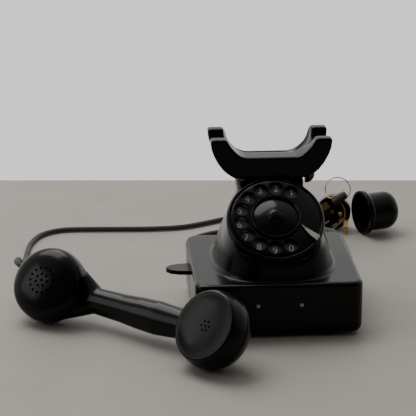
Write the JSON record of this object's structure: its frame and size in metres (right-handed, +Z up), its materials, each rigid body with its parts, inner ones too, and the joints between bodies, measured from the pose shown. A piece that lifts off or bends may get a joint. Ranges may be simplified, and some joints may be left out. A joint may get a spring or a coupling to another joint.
{
  "type": "rotary telephone",
  "caption": "Black desk telephone with a rotary dial, its handset lying beside the base on a braided cord and its line plug opened behind.",
  "frame": {"origin": "on the table, under the middle of the box that holds the telephone and its handset, without the cords and plug", "axes": "+X to the right seen from the front, -Y towards the front of the telephone, +Z up"},
  "size_m": [0.3949, 0.4591, 0.162],
  "materials": {
    "bakelite": "polished black phenolic, lightly worn",
    "enamel": "black enamel with white numerals",
    "steel": "plain",
    "nickel": "nickel plate, rubbed",
    "brass": "bright, slightly tarnished",
    "copper": "enamelled copper wire",
    "rubber": "matte",
    "braid": "braided cotton",
    "fibre": "pressed fibre"
  },
  "bodies": {
    "telephone": {"housing": "bakelite", "front_screw_1": "nickel", "front_screw_2": "nickel", "handset_cord_bush": "rubber", "line_cord_bush": "rubber", "base_plate": "steel", "foot_1": "rubber", "foot_2": "rubber", "foot_3": "rubber", "foot_4": "rubber", "dial_bezel": "bakelite", "number_plate": "enamel", "finger_stop": "nickel", "dial_case": "steel", "main_spring": "steel", "cradle_spring": "steel", "hook_bracket": "steel", "gong_left": "brass", "gong_right": "brass", "ringer_frame": "steel", "ringer_coil_1": "copper", "ringer_coil_2": "copper", "induction_coil": "copper", "capacitor": "steel", "terminal_block": "fibre", "lever_pivot": "steel", "handset_cord": "braid", "handset_cord_coil": "braid", "handset_cord_lead": "braid", "line_cord_lead": "braid", "line_cord_coil": "braid", "line_cord": "braid", "plug_insert": "bakelite", "plug_strain_relief": "rubber", "terminal_clamp": "brass", "terminal_post": "brass", "terminal_screw": "brass", "contact_pin_1": "nickel", "contact_pin_2": "nickel", "contact_strip": "brass", "bare_conductor": "brass", "conductor_sleeve": "rubber"},
    "dial": {"finger_wheel": "bakelite", "hub_disc": "bakelite", "dial_shaft": "steel", "drive_gear": "brass"},
    "governor": {"governor": "brass"},
    "cradle": {"cradle": "bakelite", "cradle_stem": "steel"},
    "hook_lever": {"hook_lever": "brass"},
    "clapper": {"clapper": "steel"},
    "volume_lever": {"volume_lever": "bakelite"},
    "handset": {"handset_body": "bakelite", "mouthpiece_cap": "bakelite", "earpiece_cap": "bakelite", "transmitter_capsule": "steel", "receiver_capsule": "steel", "mouthpiece_cord_bush": "rubber"},
    "plug_cover": {"plug_cover": "bakelite"}
  },
  "joints": [
    {"name": "dial_turn", "type": "hinge", "parent": "telephone", "child": "dial", "pos_m": [0.08111, 0.01588, 0.0958], "axis": [0, 0.632, -0.7749], "range_deg": [0, 323], "stiffness_Nm_per_rad": 0.02},
    {"name": "governor_spin", "type": "hinge", "parent": "telephone", "child": "governor", "pos_m": [0.10211, 0.01588, 0.0958], "axis": [0, 0.632, -0.7749], "range_deg": [-1835, 5]},
    {"name": "cradle_press", "type": "slide", "parent": "telephone", "child": "cradle", "axis": [0, 0, 1], "range_m": [-0.004, 0], "stiffness_N_per_m": 400, "springref_m": 0.004, "deforming": ["cradle_spring"]},
    {"name": "hook_swing", "type": "hinge", "parent": "telephone", "child": "hook_lever", "pos_m": [0.08111, 0.08978, 0.0935], "axis": [1, 0, 0], "range_deg": [-0.5, 17]},
    {"name": "clapper_swing", "type": "hinge", "parent": "telephone", "child": "clapper", "pos_m": [0.08111, 0.04578, 0.0305], "axis": [0, 1, 0], "range_deg": [-4, 4], "stiffness_Nm_per_rad": 0.02},
    {"name": "volume_turn", "type": "hinge", "parent": "telephone", "child": "volume_lever", "pos_m": [0.02111, 0.05978, 0.0355], "axis": [0, 0, 1], "range_deg": [-12, 12]},
    {"name": "handset_lift", "type": "slide", "parent": "telephone", "child": "handset", "axis": [0, 0, 1], "range_m": [0, 0.12]},
    {"name": "plug_cover_lift", "type": "slide", "parent": "telephone", "child": "plug_cover", "axis": [0, 0, 1], "range_m": [0, 0.03]}
  ],
  "couplings": [
    {"joint": "governor_spin", "follows": "dial_turn", "ratio": -5.6667},
    {"joint": "hook_swing", "follows": "cradle_press", "rad_per_m": -71.43}
  ]
}
